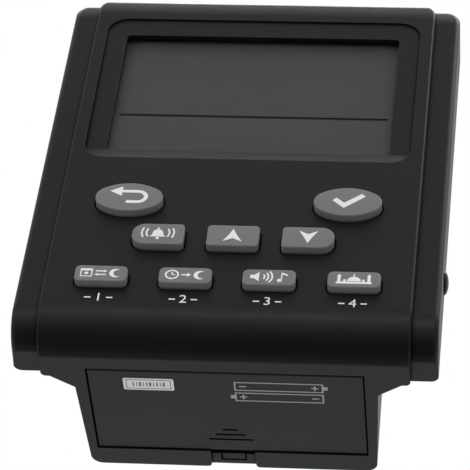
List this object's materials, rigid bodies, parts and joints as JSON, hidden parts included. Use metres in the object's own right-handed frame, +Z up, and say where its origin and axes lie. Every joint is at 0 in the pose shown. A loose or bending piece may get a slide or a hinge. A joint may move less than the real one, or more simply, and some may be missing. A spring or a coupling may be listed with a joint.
{
  "type": "azan clock",
  "caption": "Reclined desk clock with a large display, control keys, a side button, a rolled front lip and a battery foot with a hinged door.",
  "frame": {"origin": "centre of the footprint on the table that the clock stands on", "axes": "+X to the right as seen from the front, +Y to the back, +Z up"},
  "size_m": [0.1011, 0.0517, 0.1276],
  "materials": {
    "shell": "fine-grained satin black",
    "key_plastic": "satin mid grey",
    "button_plastic": "smooth black",
    "lens": "thin clear window",
    "lcd_glass": "dark grey display, switched off",
    "frame_plastic": "moulded off-white",
    "light_guide": "clear milky",
    "zebra_rubber": "layered silicone",
    "board": "green solder mask",
    "epoxy": "black epoxy",
    "can_steel": "plated can",
    "capacitor_sleeve": "shrunk sleeve",
    "socket_plastic": "natural nylon",
    "mat_rubber": "translucent silicone",
    "basket_steel": "pressed steel",
    "cone_paper": "pulp paper",
    "magnet": "sintered",
    "gasket": "foam ring",
    "contact_steel": "nickel-plated",
    "screw_steel": "zinc-plated",
    "lead_red": "insulated lead",
    "lead_black": "insulated lead",
    "lead_yellow": "insulated lead"
  },
  "bodies": {
    "housing": {"front_cover": "shell", "rear_cover": "shell", "display_lens": "lens", "lcd_panel": "lcd_glass", "lcd_frame": "frame_plastic", "backlight_panel": "light_guide", "zebra_strip": "zebra_rubber", "main_board": "board", "chip_blob": "epoxy", "crystal_can": "can_steel", "capacitors": "capacitor_sleeve", "board_sockets": "socket_plastic", "keypad_mat": "mat_rubber", "side_switch": "epoxy", "speaker_frame": "basket_steel", "speaker_cone": "cone_paper", "speaker_magnet": "magnet", "speaker_gasket": "gasket", "battery_springs": "contact_steel", "battery_plates": "contact_steel", "housing_screws": "screw_steel", "board_screws": "screw_steel", "speaker_screws": "screw_steel", "battery_lead_red": "lead_red", "battery_lead_black": "lead_black", "speaker_leads": "lead_yellow"},
    "exit_key": {"exit_key": "key_plastic"},
    "set_key": {"set_key": "key_plastic"},
    "alarm_key": {"alarm_key": "key_plastic"},
    "up_key": {"up_key": "key_plastic"},
    "down_key": {"down_key": "key_plastic"},
    "calendar_key": {"calendar_key": "key_plastic"},
    "iqamah_key": {"iqamah_key": "key_plastic"},
    "sound_key": {"sound_key": "key_plastic"},
    "azan_key": {"azan_key": "key_plastic"},
    "side_button": {"side_button": "button_plastic", "side_plunger": "socket_plastic"},
    "battery_door": {"battery_door": "shell"}
  },
  "joints": [
    {"name": "exit_press", "type": "slide", "parent": "housing", "child": "exit_key", "axis": [0, 0.9781, -0.2079], "range_m": [0, 0.0008], "stiffness_N_per_m": 600},
    {"name": "set_press", "type": "slide", "parent": "housing", "child": "set_key", "axis": [0, 0.9781, -0.2079], "range_m": [0, 0.0008], "stiffness_N_per_m": 600},
    {"name": "alarm_press", "type": "slide", "parent": "housing", "child": "alarm_key", "axis": [0, 0.9781, -0.2079], "range_m": [0, 0.0008], "stiffness_N_per_m": 600},
    {"name": "up_press", "type": "slide", "parent": "housing", "child": "up_key", "axis": [0, 0.9781, -0.2079], "range_m": [0, 0.0008], "stiffness_N_per_m": 600},
    {"name": "down_press", "type": "slide", "parent": "housing", "child": "down_key", "axis": [0, 0.9781, -0.2079], "range_m": [0, 0.0008], "stiffness_N_per_m": 600},
    {"name": "calendar_press", "type": "slide", "parent": "housing", "child": "calendar_key", "axis": [0, 0.9781, -0.2079], "range_m": [0, 0.0008], "stiffness_N_per_m": 600},
    {"name": "iqamah_press", "type": "slide", "parent": "housing", "child": "iqamah_key", "axis": [0, 0.9781, -0.2079], "range_m": [0, 0.0008], "stiffness_N_per_m": 600},
    {"name": "sound_press", "type": "slide", "parent": "housing", "child": "sound_key", "axis": [0, 0.9781, -0.2079], "range_m": [0, 0.0008], "stiffness_N_per_m": 600},
    {"name": "azan_press", "type": "slide", "parent": "housing", "child": "azan_key", "axis": [0, 0.9781, -0.2079], "range_m": [0, 0.0008], "stiffness_N_per_m": 600},
    {"name": "side_button_press", "type": "slide", "parent": "housing", "child": "side_button", "axis": [-1, 0, 0], "range_m": [0, 0.0006], "stiffness_N_per_m": 700},
    {"name": "battery_door_hinge", "type": "hinge", "parent": "housing", "child": "battery_door", "pos_m": [0, -0.0123, 0.0012], "axis": [-1, 0, 0], "range_deg": [0, 90]}
  ]
}
